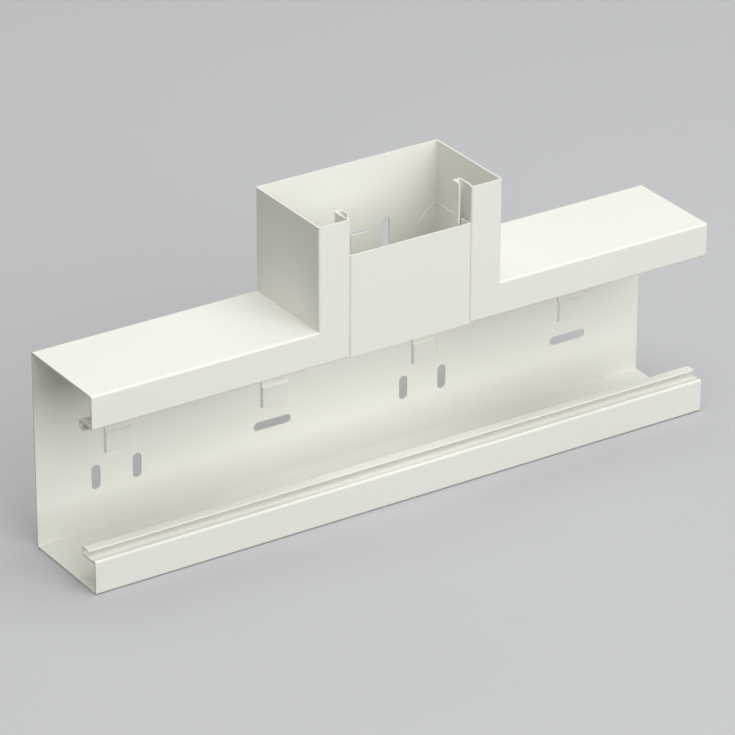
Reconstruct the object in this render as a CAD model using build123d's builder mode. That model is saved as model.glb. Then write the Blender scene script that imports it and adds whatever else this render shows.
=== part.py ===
from build123d import *
import os

# Steel trunking tee: a trunk that runs along X, a branch that rises from its middle along Z.
# Y runs from the open front towards the wall that the tee is fixed to.
# The origin is at the middle of the trunk's underside. All sizes are in millimetres.

# Outside sizes of the two channels
trunk_length = 440
trunk_width = 130
branch_width = 130
branch_rise = 68
depth = 70

# Painted sheet and its folds
sheet = 1
bend_inside = 0.3

# Front flanges and the lips that hold a cover: each lip steps back, then ends in a hook
flange = 22
lip_depth = 15.2
lip_hook = 3.8
lip_return = 7
lip_step = 0.8
lip_step_from = 1.6
lip_step_to = 4.5

# Punching in the back wall: one group every pitch, the first one inset from an open end
group_inset = 55
group_pitch = 110
slot_width = 6
upright_slot_length = 16.5
upright_slot_spacing = 28.5
upright_slot_from_wall = 36
level_slot_length = 26.5
level_slot_from_wall = 38
punch_reach = 5

# Pressed pockets: each opens at a slit and slopes back into the wall on its other three sides
pocket_length = 18.8
pocket_height = 14.6
pocket_rise = 1.8
pocket_from_wall = 50.3
pocket_offset = 7.4
pocket_side_slope = 1.2
pocket_end_slope = 2
slit_width = 1
slit_length = 18

# Brackets that join the branch to the trunk at the two inside corners
bracket_sheet = 0.7
bracket_bend_inside = 0.8
bracket_rise = 27
bracket_wing = 13.3
bracket_foot = 12.5
wing_chamfer = 10.5
bracket_lip_gap = 1

# Short front panel, clipped between the branch's flanges
panel_sheet = 1
panel_bend_inside = 0.2
panel_height = 66.5
panel_fit = 0.15
panel_leg = 9
panel_catch = 1.6

# Places that several pieces share
half_sheet = sheet / 2
bend_middle = bend_inside + half_sheet
front = -depth / 2
back = depth / 2
inner_back = back - sheet
lip_back = front + lip_depth
trunk_end = trunk_length / 2
branch_side = branch_width / 2
branch_inside = branch_side - sheet
branch_top = trunk_width + branch_rise
top_inside = trunk_width - sheet
mitre = flange + lip_hook
mitre_floor = trunk_width - mitre


def channel_path(width):
    """Corner points of a channel's sheet, along its middle line, from one lip to the other."""
    wall = width / 2 - half_sheet
    leg = width / 2 - flange + half_sheet
    ledge = leg + lip_step
    hook = leg - lip_hook
    heel = lip_back - half_sheet
    tip = lip_back - lip_return
    face = front + half_sheet
    rear = back - half_sheet
    hook_points = [(hook, tip), (hook, heel), (ledge, heel)]
    step_points = [(ledge, front + lip_step_to), (leg, front + lip_step_from)]
    one_side = hook_points + step_points + [(leg, face), (wall, face), (wall, rear)]
    return one_side + [(-across, along) for across, along in reversed(one_side)]


# Front view of the branch: its lower corners are mitred at 45 degrees into the trunk's flange
with BuildSketch(Plane.XZ) as branch_outline:
    with BuildLine():
        Polyline(
            (branch_side, branch_top),
            (branch_side, trunk_width),
            (branch_side - mitre, mitre_floor),
            (mitre - branch_side, mitre_floor),
            (-branch_side, trunk_width),
            (-branch_side, branch_top),
            close=True,
        )
    make_face()

# One pocket, seen from inside the channel: the slit is at x = 0 and the pocket runs along +X.
# Its slopes start half a sheet inside the wall and cross the wall's face at the pocket's full size
slope_start = half_sheet / pocket_rise
root_length = pocket_length + pocket_end_slope * slope_start
root_height = pocket_height + 2 * pocket_side_slope * slope_start
with BuildPart() as pocket_form:
    with BuildSketch(Plane.XY.offset(-half_sheet)):
        with Locations((root_length / 2, 0)):
            Rectangle(root_length, root_height)
    with BuildSketch(Plane.XY.offset(pocket_rise)):
        with Locations(((pocket_length - pocket_end_slope) / 2, 0)):
            Rectangle(pocket_length - pocket_end_slope, pocket_height - 2 * pocket_side_slope)
    loft()

# Slit at the pocket's open end, cut on towards the channel's middle line
with BuildPart() as slit_form:
    with BuildSketch():
        with Locations((-slit_width / 2, (slit_length - pocket_height) / 2)):
            Rectangle(slit_width, slit_length)
    extrude(amount=punch_reach, both=True)

# The punching groups, counted from the trunk's left end
group_count = round((trunk_length - 2 * group_inset) / group_pitch) + 1
groups = [group_inset - trunk_end + group_pitch * count for count in range(group_count)]
upright_groups = groups[0::2]
level_groups = groups[1::2]
pocket_middle = pocket_from_wall + pocket_height / 2
back_face = Plane.XZ.offset(-back)

trunk_pockets = [
    Plane((group - pocket_offset, inner_back, pocket_middle), x_dir=(1, 0, 0), z_dir=(0, -1, 0))
    for group in groups
]

# The trunk: a channel open to the front, notched for the branch
trunk_section_plane = Plane((trunk_end, 0, trunk_width / 2), x_dir=(0, 0, 1), z_dir=(-1, 0, 0))
with BuildPart() as trunk_channel:
    with BuildSketch(trunk_section_plane):
        with BuildLine():
            FilletPolyline(*channel_path(trunk_width), radius=bend_middle)
        trace(line_width=sheet)
    extrude(amount=trunk_length)
    extrude(branch_outline.sketch, amount=depth, both=True, mode=Mode.SUBTRACT)
    with Locations(*trunk_pockets):
        add(pocket_form.part)
        add(slit_form.part, mode=Mode.SUBTRACT)
    with Locations(*[plane.offset(-sheet) for plane in trunk_pockets]):
        add(pocket_form.part, mode=Mode.SUBTRACT)
    with BuildSketch(back_face):
        for group in upright_groups:
            with Locations((group, upright_slot_from_wall)):
                with GridLocations(upright_slot_spacing, 0, 2, 1):
                    SlotOverall(upright_slot_length, slot_width, rotation=90)
        for group in level_groups:
            with Locations((group, level_slot_from_wall)):
                SlotOverall(level_slot_length, slot_width)
    extrude(amount=punch_reach, both=True, mode=Mode.SUBTRACT)

trunk_channel.part.label = "trunk_channel"

# The branch: the same folds, set upright, with one group of the same punching
branch_group = branch_top - group_inset
branch_pocket = Plane(
    (branch_side - pocket_middle, inner_back, branch_group + pocket_offset),
    x_dir=(0, 0, -1),
    z_dir=(0, -1, 0),
)
branch_slit = slit_form.part.mirror(Plane.XZ)
with BuildPart() as branch_channel:
    with BuildSketch(Plane.XY.offset(mitre_floor)):
        with BuildLine():
            FilletPolyline(*channel_path(branch_width), radius=bend_middle)
        trace(line_width=sheet)
    extrude(amount=mitre + branch_rise)
    extrude(branch_outline.sketch, amount=depth, both=True, mode=Mode.INTERSECT)
    with Locations(branch_pocket):
        add(pocket_form.part)
        add(branch_slit, mode=Mode.SUBTRACT)
    with Locations(branch_pocket.offset(-sheet)):
        add(pocket_form.part, mode=Mode.SUBTRACT)
    with BuildSketch(back_face):
        with Locations((branch_side - level_slot_from_wall, branch_group)):
            SlotOverall(level_slot_length, slot_width, rotation=90)
    extrude(amount=punch_reach, both=True, mode=Mode.SUBTRACT)

branch_channel.part.label = "branch_channel"

# Right-hand joint bracket: a side leg on the branch wall, a wing on the back wall and a foot
# under the trunk's top wall
bracket_top = trunk_width + bracket_rise
bracket_front = lip_back + bracket_lip_gap
bracket_inside = branch_inside - bracket_sheet
bracket_bend_outside = bracket_sheet + bracket_bend_inside
wing_face = inner_back - bracket_sheet
wing_edge = branch_inside - bracket_wing
foot_under = top_inside - bracket_sheet
foot_back = inner_back - bracket_bend_outside
foot_end = branch_inside + bracket_foot
with BuildPart() as right_joint_bracket:
    with BuildSketch(Plane.XY.offset(top_inside)):
        with BuildLine():
            Polyline(
                (branch_inside, bracket_front),
                (branch_inside, inner_back),
                (wing_edge, inner_back),
                (wing_edge, wing_face),
                (bracket_inside, wing_face),
                (bracket_inside, bracket_front),
                close=True,
            )
        make_face()
    extrude(amount=bracket_top - top_inside)
    upright_edges = right_joint_bracket.edges().filter_by(Axis.Z)
    fillet(upright_edges.sort_by_distance((branch_inside, inner_back, trunk_width))[0], bracket_bend_outside)
    upright_edges = right_joint_bracket.edges().filter_by(Axis.Z)
    fillet(upright_edges.sort_by_distance((bracket_inside, wing_face, trunk_width))[0], bracket_bend_inside)
    wing_corners = right_joint_bracket.edges().filter_by(Axis.Y).group_by(Axis.X)[0]
    chamfer(wing_corners.sort_by(Axis.Z)[-1], wing_chamfer)
    with BuildSketch(Plane.XZ.offset(-foot_back)) as foot_section:
        with BuildLine():
            Polyline(
                (bracket_inside, trunk_width),
                (branch_inside, trunk_width),
                (branch_inside, top_inside),
                (foot_end, top_inside),
                (foot_end, foot_under),
                (bracket_inside, foot_under),
                close=True,
            )
        make_face()
        fillet(foot_section.vertices().group_by(Axis.Y)[0].sort_by(Axis.X)[0], bracket_sheet)
    extrude(amount=foot_back - bracket_front)

right_joint_bracket.part.label = "right_joint_bracket"

with BuildPart() as left_joint_bracket:
    mirror(right_joint_bracket.part, about=Plane.YZ)

left_joint_bracket.part.label = "left_joint_bracket"

# The front panel: a flat face with two legs that reach back into the branch's lips
panel_bottom = trunk_width - flange
half_panel_sheet = panel_sheet / 2
panel_side = branch_side - flange - panel_fit - half_panel_sheet
panel_face = front + half_panel_sheet
panel_heel = front + panel_leg - half_panel_sheet
catch_tip = panel_side + half_panel_sheet - panel_catch
with BuildPart() as front_panel:
    with BuildSketch(Plane.XY.offset(panel_bottom)):
        with BuildLine():
            FilletPolyline(
                (catch_tip, panel_heel),
                (panel_side, panel_heel),
                (panel_side, panel_face),
                (-panel_side, panel_face),
                (-panel_side, panel_heel),
                (-catch_tip, panel_heel),
                radius=panel_bend_inside + half_panel_sheet,
            )
        trace(line_width=panel_sheet)
    extrude(amount=panel_height)

front_panel.part.label = "front_panel"

os.makedirs("parts", exist_ok=True)
export_step(trunk_channel.part, "parts/trunk_channel.step")
export_step(branch_channel.part, "parts/branch_channel.step")
export_step(left_joint_bracket.part, "parts/left_joint_bracket.step")
export_step(right_joint_bracket.part, "parts/right_joint_bracket.step")
export_step(front_panel.part, "parts/front_panel.step")
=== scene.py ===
import math

import bpy
from bpy.props import FloatProperty, FloatVectorProperty, PointerProperty
from mathutils import Matrix, Vector


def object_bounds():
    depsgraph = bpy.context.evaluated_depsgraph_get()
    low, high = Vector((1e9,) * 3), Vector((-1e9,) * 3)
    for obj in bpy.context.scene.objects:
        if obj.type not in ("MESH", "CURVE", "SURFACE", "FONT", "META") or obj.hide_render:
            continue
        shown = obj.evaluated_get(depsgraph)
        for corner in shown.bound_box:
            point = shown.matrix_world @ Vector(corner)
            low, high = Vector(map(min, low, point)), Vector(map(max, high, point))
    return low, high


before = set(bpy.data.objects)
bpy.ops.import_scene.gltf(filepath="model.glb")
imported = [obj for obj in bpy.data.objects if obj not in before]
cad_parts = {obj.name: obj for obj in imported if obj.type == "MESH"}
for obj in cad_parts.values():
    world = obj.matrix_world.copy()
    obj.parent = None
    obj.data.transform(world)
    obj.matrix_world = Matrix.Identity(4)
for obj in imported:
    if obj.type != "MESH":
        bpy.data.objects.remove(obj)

bl_info = {
    "name": "Trunking tee",
    "version": (1, 0, 0),
    "blender": (4, 5, 0),
    "location": "View3D > Sidebar > Trunking Tee",
    "description": "Finishes a sheet-steel trunking tee and sets it on a studio floor",
    "category": "Object",
}

CAD_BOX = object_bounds()
CHANNELS = ("trunk_channel", "branch_channel")
BRACKETS = ("left_joint_bracket", "right_joint_bracket")
PANEL = "front_panel"
LAMPS = ("top", "front", "back")

# Finest detail of each noise in the paint, and how the grain joins the others
DRIFT_DETAIL = 2.0
SWELL_DETAIL = 1.0
GRAIN_DETAIL = 3.0
GRAIN_MEAN = 0.5
GRAIN_IN_HEIGHT = 0.25

# Gloss of the paint and of the floor's paper
PAINT_IOR = 1.5
PAINT_SPECULAR = 0.3
PAPER_ROUGHNESS = 0.9
PAPER_SPECULAR = 0.2

# Range that the camera sees, in metres
CLIP_START = 0.05
CLIP_END = 50.0

# Sockets that share a name with others of their node, by number
FIRST_COLOUR, SECOND_COLOUR, MIXED_COLOUR = 6, 7, 2
SHADER_SHARE, FIRST_SHADER, SECOND_SHADER = 0, 1, 2
FIRST_VECTOR = 0


# Shader sums and nodes

class Term:
    """A shader socket that takes part in sums, so that a formula reads as one."""

    def __init__(self, socket):
        self.socket = socket
        self.tree = socket.id_data

    def combined(self, operation, first, second):
        node = self.tree.nodes.new("ShaderNodeMath")
        node.operation = operation
        for place, value in zip(node.inputs, (first, second)):
            if isinstance(value, Term):
                self.tree.links.new(value.socket, place)
            else:
                place.default_value = value
        return Term(node.outputs[0])

    def __add__(self, other):
        return self.combined("ADD", self, other)

    __radd__ = __add__

    def __sub__(self, other):
        return self.combined("SUBTRACT", self, other)

    def __rsub__(self, other):
        return self.combined("SUBTRACT", other, self)

    def __mul__(self, other):
        return self.combined("MULTIPLY", self, other)

    __rmul__ = __mul__


class NodeSheet:
    """The node tree of one material or of the world."""

    def __init__(self, owner):
        owner.use_nodes = True
        self.tree = owner.node_tree
        self.tree.nodes.clear()

    def add(self, kind, settings=None, sockets=None, output=0):
        """Adds a node. Its settings come first, then the numbers or links of its sockets."""
        node = self.tree.nodes.new(kind)
        for name, value in (settings or {}).items():
            setattr(node, name, value)
        for name, value in (sockets or {}).items():
            if isinstance(value, Term):
                self.tree.links.new(value.socket, node.inputs[name])
            else:
                node.inputs[name].default_value = value
        return Term(node.outputs[output]) if node.outputs else None

    def noise(self, place, scale, detail):
        return self.add("ShaderNodeTexNoise", None, {"Vector": place, "Scale": scale, "Detail": detail})

    def mixed_colour(self, share, first, second):
        return self.add(
            "ShaderNodeMix",
            {"data_type": "RGBA"},
            {"Factor": share, FIRST_COLOUR: opaque(first), SECOND_COLOUR: opaque(second)},
            output=MIXED_COLOUR,
        )

    def mixed_shader(self, share, first, second):
        return self.add(
            "ShaderNodeMixShader",
            None,
            {SHADER_SHARE: share, FIRST_SHADER: first, SECOND_SHADER: second},
        )

    def seen(self):
        """1 for a ray that the camera sees, straight, in a gloss or through glass, and 0 for light."""
        camera = self.add("ShaderNodeLightPath", output="Is Camera Ray")
        gloss = self.add("ShaderNodeLightPath", output="Is Glossy Ray")
        glass = self.add("ShaderNodeLightPath", output="Is Transmission Ray")
        return camera + gloss + glass


def opaque(colour):
    """The colour with a full alpha, as colour sockets take it."""
    return (*colour, 1.0)


def powder_coat(name, paint):
    """Satin powder coat: a faint drift of tone, uneven gloss and the fine swell of sprayed paint."""
    material = bpy.data.materials.new(name)
    sheet = NodeSheet(material)
    place = sheet.add("ShaderNodeTexCoord", output="Object")
    drift = sheet.noise(place, paint.drift_scale, DRIFT_DETAIL)
    swell = sheet.noise(place, paint.swell_scale, SWELL_DETAIL)
    grain = sheet.noise(place, paint.grain_scale, GRAIN_DETAIL)
    tone = sheet.mixed_colour(drift, paint.shade, paint.colour)
    rough = paint.roughness + (grain - GRAIN_MEAN) * paint.roughness_drift
    height = swell + grain * GRAIN_IN_HEIGHT
    bump = sheet.add(
        "ShaderNodeBump",
        None,
        {"Height": height, "Strength": paint.swell_strength, "Distance": paint.swell_depth},
    )
    surface = sheet.add(
        "ShaderNodeBsdfPrincipled",
        None,
        {
            "Base Color": tone,
            "Roughness": rough,
            "Normal": bump,
            "IOR": PAINT_IOR,
            "Specular IOR Level": PAINT_SPECULAR,
        },
    )
    sheet.add("ShaderNodeOutputMaterial", None, {"Surface": surface})
    return material


def give_finish(piece, material):
    """Leaves one material as the piece's only slot."""
    slots = piece.data.materials
    slots.clear()
    slots.append(material)


# Sizes and colours that a user would change

class PaintSettings(bpy.types.PropertyGroup):
    """The paint on the sheet steel."""

    colour: FloatVectorProperty(
        name="Colour", description="Cream white of the paint",
        subtype="COLOR", size=3, min=0.0, max=1.0, default=(0.91, 0.905, 0.846),
    )
    shade: FloatVectorProperty(
        name="Shade", description="Slightly deeper tone that the paint drifts to",
        subtype="COLOR", size=3, min=0.0, max=1.0, default=(0.89, 0.885, 0.826),
    )
    drift_scale: FloatProperty(
        name="Drift scale", description="How many drifts of tone there are in a metre",
        default=14.0, min=0.0,
    )
    swell_scale: FloatProperty(
        name="Swell scale", description="How many swells of the sprayed coat there are in a metre",
        default=650.0, min=0.0,
    )
    grain_scale: FloatProperty(
        name="Grain scale", description="How many grains of gloss there are in a metre",
        default=1900.0, min=0.0,
    )
    swell_depth: FloatProperty(
        name="Swell depth", description="Height of the swells",
        subtype="DISTANCE", unit="LENGTH", default=0.00003, min=0.0, precision=6,
    )
    swell_strength: FloatProperty(
        name="Swell strength", description="How much the swells turn the light",
        subtype="FACTOR", default=0.35, min=0.0, max=1.0,
    )
    roughness: FloatProperty(
        name="Roughness", description="Mean roughness of the satin coat",
        subtype="FACTOR", default=0.56, min=0.0, max=1.0,
    )
    roughness_drift: FloatProperty(
        name="Roughness drift", description="How much the roughness varies",
        subtype="FACTOR", default=0.12, min=0.0, max=1.0,
    )


class StageSettings(bpy.types.PropertyGroup):
    """The floor, the room, the lamps and the camera."""

    floor_size: FloatProperty(
        name="Floor size", description="Side of the square floor",
        subtype="DISTANCE", unit="LENGTH", default=12.0, min=1.0,
    )
    floor_gap: FloatProperty(
        name="Floor gap", description="Hair's breadth between the object and the floor",
        subtype="DISTANCE", unit="LENGTH", default=0.0002, min=0.0, precision=5,
    )
    floor_colour: FloatVectorProperty(
        name="Floor colour", description="Pale grey of the floor",
        subtype="COLOR", size=3, min=0.0, max=1.0, default=(0.56, 0.575, 0.59),
    )
    floor_bounce: FloatVectorProperty(
        name="Floor bounce", description="How much light the floor throws back at the object",
        subtype="COLOR", size=3, min=0.0, max=1.0, default=(0.15, 0.15, 0.15),
    )
    backdrop_colour: FloatVectorProperty(
        name="Backdrop colour", description="Pale grey that is seen behind the floor",
        subtype="COLOR", size=3, min=0.0, max=1.0, default=(0.62, 0.64, 0.66),
    )
    fade_start: FloatProperty(
        name="Fade start", description="Where the floor starts to turn into the backdrop, from the object",
        subtype="DISTANCE", unit="LENGTH", default=1.2, min=0.0,
    )
    fade_end: FloatProperty(
        name="Fade end", description="Where only the backdrop is left of the floor, from the object",
        subtype="DISTANCE", unit="LENGTH", default=3.2, min=0.1,
    )
    sky_colour: FloatVectorProperty(
        name="Room colour", description="Colour of the light that comes from all round",
        subtype="COLOR", size=3, min=0.0, max=1.0, default=(1.0, 0.985, 0.94),
    )
    sky_strength: FloatProperty(
        name="Room light", description="Strength of the light from all round",
        default=0.34, min=0.0,
    )
    top_direction: FloatVectorProperty(
        name="Overhead direction", description="Towards the overhead lamp, from the object",
        subtype="DIRECTION", size=3, default=(0.12, -0.1, 1.0),
    )
    top_distance: FloatProperty(
        name="Overhead distance", description="From the object to the overhead lamp",
        subtype="DISTANCE", unit="LENGTH", default=2.8, min=0.1,
    )
    top_size: FloatProperty(
        name="Overhead size", description="Side of the overhead lamp's square panel",
        subtype="DISTANCE", unit="LENGTH", default=3.0, min=0.01,
    )
    top_power: FloatProperty(
        name="Overhead power", description="Power of the overhead lamp",
        subtype="POWER", unit="POWER", default=48.0, min=0.0,
    )
    front_direction: FloatVectorProperty(
        name="Front direction", description="Towards the front lamp, from the object",
        subtype="DIRECTION", size=3, default=(0.1, -1.0, 0.42),
    )
    front_distance: FloatProperty(
        name="Front distance", description="From the object to the front lamp",
        subtype="DISTANCE", unit="LENGTH", default=3.2, min=0.1,
    )
    front_size: FloatProperty(
        name="Front size", description="Side of the front lamp's square panel",
        subtype="DISTANCE", unit="LENGTH", default=3.2, min=0.01,
    )
    front_power: FloatProperty(
        name="Front power", description="Power of the front lamp",
        subtype="POWER", unit="POWER", default=75.0, min=0.0,
    )
    back_direction: FloatVectorProperty(
        name="Back direction", description="Towards the weak lamp behind, from the object",
        subtype="DIRECTION", size=3, default=(-0.1, 1.0, 0.15),
    )
    back_distance: FloatProperty(
        name="Back distance", description="From the object to the lamp behind",
        subtype="DISTANCE", unit="LENGTH", default=3.2, min=0.1,
    )
    back_size: FloatProperty(
        name="Back size", description="Side of the square panel of the lamp behind",
        subtype="DISTANCE", unit="LENGTH", default=2.8, min=0.01,
    )
    back_power: FloatProperty(
        name="Back power", description="Power of the lamp behind",
        subtype="POWER", unit="POWER", default=18.0, min=0.0,
    )
    camera_place: FloatVectorProperty(
        name="Camera place", description="Where the camera stands",
        subtype="TRANSLATION", unit="LENGTH", size=3, default=(-1.4135, -2.1513, 1.3583),
    )
    camera_aim: FloatVectorProperty(
        name="Camera aim", description="The point that the camera looks at",
        subtype="TRANSLATION", unit="LENGTH", size=3, default=(-0.0079, 0.0, 0.07726),
    )
    camera_roll: FloatProperty(
        name="Camera roll", description="Turn of the camera about its line of sight",
        subtype="ANGLE", unit="ROTATION", default=math.radians(0.2),
    )
    camera_lens: FloatProperty(
        name="Lens", description="Focal length on a 36 mm sensor",
        subtype="DISTANCE_CAMERA", unit="CAMERA", default=232.08, min=1.0,
    )


# The pieces and the stage

class TEE_OT_paint_channels(bpy.types.Operator):
    """Coats the trunk and the branch"""

    bl_idname = "tee.paint_channels"
    bl_label = "Paint the channels"

    def execute(self, context):
        coat = powder_coat("channel_coat", context.scene.tee_paint)
        for name in CHANNELS:
            give_finish(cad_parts[name], coat)
        return {"FINISHED"}


class TEE_OT_paint_brackets(bpy.types.Operator):
    """Coats the two joint brackets"""

    bl_idname = "tee.paint_brackets"
    bl_label = "Paint the brackets"

    def execute(self, context):
        coat = powder_coat("bracket_coat", context.scene.tee_paint)
        for name in BRACKETS:
            give_finish(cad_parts[name], coat)
        return {"FINISHED"}


class TEE_OT_paint_panel(bpy.types.Operator):
    """Coats the front panel"""

    bl_idname = "tee.paint_panel"
    bl_label = "Paint the front panel"

    def execute(self, context):
        coat = powder_coat("panel_coat", context.scene.tee_paint)
        give_finish(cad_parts[PANEL], coat)
        return {"FINISHED"}


class TEE_OT_set_stage(bpy.types.Operator):
    """Lays the floor, lights the room, hangs the lamps and places the camera"""

    bl_idname = "tee.set_stage"
    bl_label = "Set the stage"

    def execute(self, context):
        stage = context.scene.tee_stage
        self.lay_floor(context, stage)
        self.light_room(context, stage)
        for name in LAMPS:
            self.hang_lamp(
                context,
                name + "_lamp",
                direction=getattr(stage, name + "_direction"),
                distance=getattr(stage, name + "_distance"),
                size=getattr(stage, name + "_size"),
                power=getattr(stage, name + "_power"),
            )
        self.place_camera(context, stage)
        context.scene.view_settings.view_transform = "Standard"
        return {"FINISHED"}

    def lay_floor(self, context, stage):
        """A square sheet of paper that fades into the backdrop away from the object."""
        half = stage.floor_size / 2
        mesh = bpy.data.meshes.new("studio_floor")
        level = CAD_BOX[0][2] - stage.floor_gap
        corners = [(-half, -half, level), (half, -half, level), (half, half, level), (-half, half, level)]
        mesh.from_pydata(corners, [], [(0, 1, 2, 3)])
        floor = bpy.data.objects.new("studio_floor", mesh)
        context.collection.objects.link(floor)
        material = bpy.data.materials.new("floor_paper")
        sheet = NodeSheet(material)
        seen = sheet.seen()
        tone = sheet.mixed_colour(seen, stage.floor_bounce, stage.floor_colour)
        paper = sheet.add(
            "ShaderNodeBsdfPrincipled",
            None,
            {"Base Color": tone, "Roughness": PAPER_ROUGHNESS, "Specular IOR Level": PAPER_SPECULAR},
        )
        place = sheet.add("ShaderNodeTexCoord", output="Object")
        reach = sheet.add(
            "ShaderNodeVectorMath",
            {"operation": "LENGTH"},
            {FIRST_VECTOR: place},
            output="Value",
        )
        fade = sheet.add(
            "ShaderNodeMapRange",
            {"interpolation_type": "SMOOTHSTEP"},
            {"Value": reach, "From Min": stage.fade_start, "From Max": stage.fade_end},
        )
        beyond = sheet.add(
            "ShaderNodeEmission",
            None,
            {"Color": opaque(stage.backdrop_colour), "Strength": 1.0},
        )
        surface = sheet.mixed_shader(fade * seen, paper, beyond)
        sheet.add("ShaderNodeOutputMaterial", None, {"Surface": surface})
        mesh.materials.append(material)

    def light_room(self, context, stage):
        """Soft light from all round, behind which the backdrop's colour is seen."""
        world = bpy.data.worlds.new("studio_room")
        context.scene.world = world
        sheet = NodeSheet(world)
        room = sheet.add(
            "ShaderNodeBackground",
            None,
            {"Color": opaque(stage.sky_colour), "Strength": stage.sky_strength},
        )
        backdrop = sheet.add(
            "ShaderNodeBackground",
            None,
            {"Color": opaque(stage.backdrop_colour), "Strength": 1.0},
        )
        surface = sheet.mixed_shader(sheet.seen(), room, backdrop)
        sheet.add("ShaderNodeOutputWorld", None, {"Surface": surface})

    def hang_lamp(self, context, name, direction, distance, size, power):
        """A square panel of light that faces the middle of the object."""
        lamp = bpy.data.lights.new(name, "AREA")
        lamp.shape = "SQUARE"
        lamp.size = size
        lamp.energy = power
        holder = bpy.data.objects.new(name, lamp)
        context.collection.objects.link(holder)
        sight = Vector(direction).normalized()
        middle = (CAD_BOX[0] + CAD_BOX[1]) / 2
        holder.location = middle + sight * distance
        holder.rotation_euler = sight.to_track_quat("Z", "Y").to_euler()

    def place_camera(self, context, stage):
        """The camera at the photograph's place, turned a little about its line of sight."""
        camera = bpy.data.cameras.new("studio_camera")
        camera.lens = stage.camera_lens
        camera.clip_start = CLIP_START
        camera.clip_end = CLIP_END
        holder = bpy.data.objects.new("studio_camera", camera)
        context.collection.objects.link(holder)
        place = Vector(stage.camera_place)
        sight = Vector(stage.camera_aim) - place
        turn = sight.to_track_quat("-Z", "Y").to_matrix() @ Matrix.Rotation(stage.camera_roll, 3, "Z")
        holder.matrix_world = Matrix.Translation(place) @ turn.to_4x4()
        context.scene.camera = holder


class TEE_PT_sidebar(bpy.types.Panel):
    """Lists the tee's sizes, colours and steps"""

    bl_idname = "TEE_PT_sidebar"
    bl_label = "Trunking Tee"
    bl_space_type = "VIEW_3D"
    bl_region_type = "UI"
    bl_category = "Trunking Tee"

    def draw(self, context):
        layout = self.layout
        for settings in (context.scene.tee_paint, context.scene.tee_stage):
            box = layout.box()
            for name in settings.__annotations__:
                box.prop(settings, name)
        for operator in OPERATORS:
            layout.operator(operator.bl_idname)


SETTINGS = (PaintSettings, StageSettings)
OPERATORS = (TEE_OT_paint_channels, TEE_OT_paint_brackets, TEE_OT_paint_panel, TEE_OT_set_stage)
CLASSES = SETTINGS + OPERATORS + (TEE_PT_sidebar,)


def register():
    for cls in CLASSES:
        bpy.utils.register_class(cls)
    bpy.types.Scene.tee_paint = PointerProperty(type=PaintSettings)
    bpy.types.Scene.tee_stage = PointerProperty(type=StageSettings)


def unregister():
    del bpy.types.Scene.tee_stage
    del bpy.types.Scene.tee_paint
    for cls in reversed(CLASSES):
        bpy.utils.unregister_class(cls)


def main():
    register()
    bpy.ops.tee.set_stage()
    bpy.ops.tee.paint_channels()
    bpy.ops.tee.paint_brackets()
    bpy.ops.tee.paint_panel()


if __name__ == "__main__":
    main()
